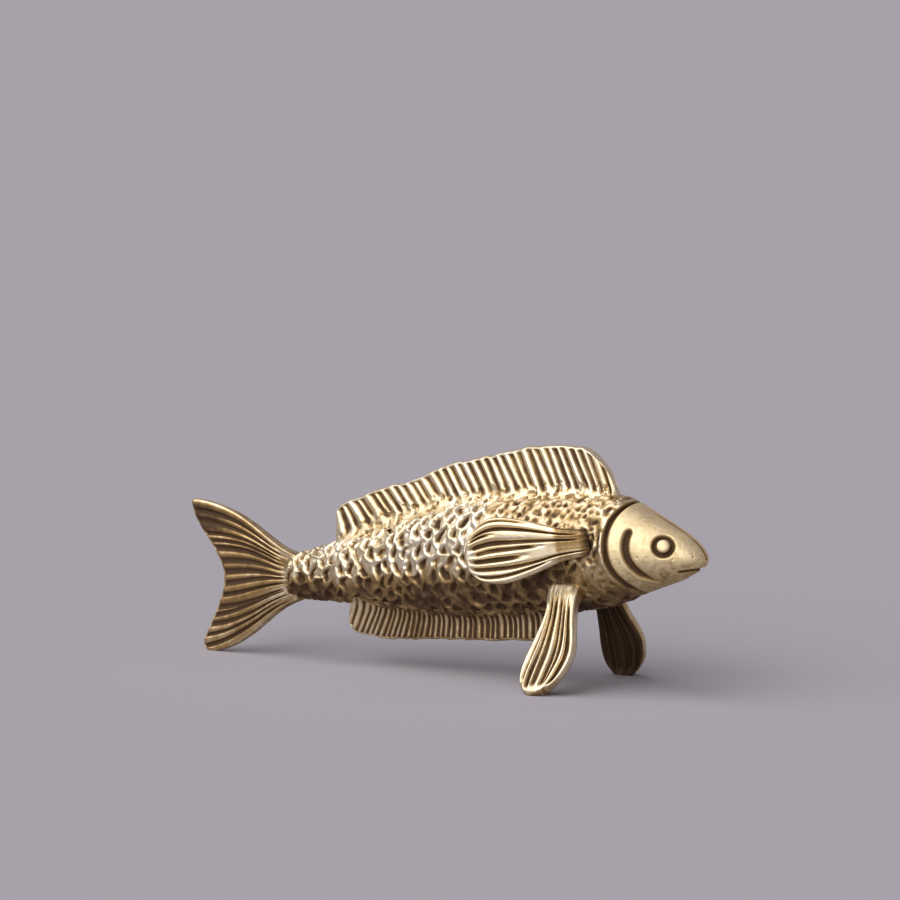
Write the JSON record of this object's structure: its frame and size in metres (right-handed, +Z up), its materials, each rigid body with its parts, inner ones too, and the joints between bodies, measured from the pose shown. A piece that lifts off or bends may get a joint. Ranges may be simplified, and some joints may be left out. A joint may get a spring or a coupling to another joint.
{
  "type": "fish figurine",
  "caption": "Small antiqued brass fish ornament with a scaled body, rayed fins and a forked tail, standing on its splayed pelvic fins and tail tip.",
  "frame": {"origin": "on the surface that the figurine stands on, under the middle of its overall length and width", "axes": "+X forwards to the snout, +Y to the fish's left, +Z up"},
  "size_m": [0.052, 0.016, 0.0197],
  "materials": {
    "scaled_brass": "antiqued, dark in the gouges and polished on the scales",
    "smooth_brass": "satin polish with fine casting pits",
    "fin_brass": "antiqued, dark between the rays and polished on the edges"
  },
  "bodies": {
    "root": {"trunk": "scaled_brass", "head": "smooth_brass", "eye_right": "smooth_brass", "eye_left": "smooth_brass", "dorsal_fin": "fin_brass", "anal_fin": "fin_brass", "tail_fin": "fin_brass", "pectoral_fin_right": "fin_brass", "pectoral_fin_left": "fin_brass", "pelvic_fin_right": "fin_brass", "pelvic_fin_left": "fin_brass"}
  },
  "joints": []
}
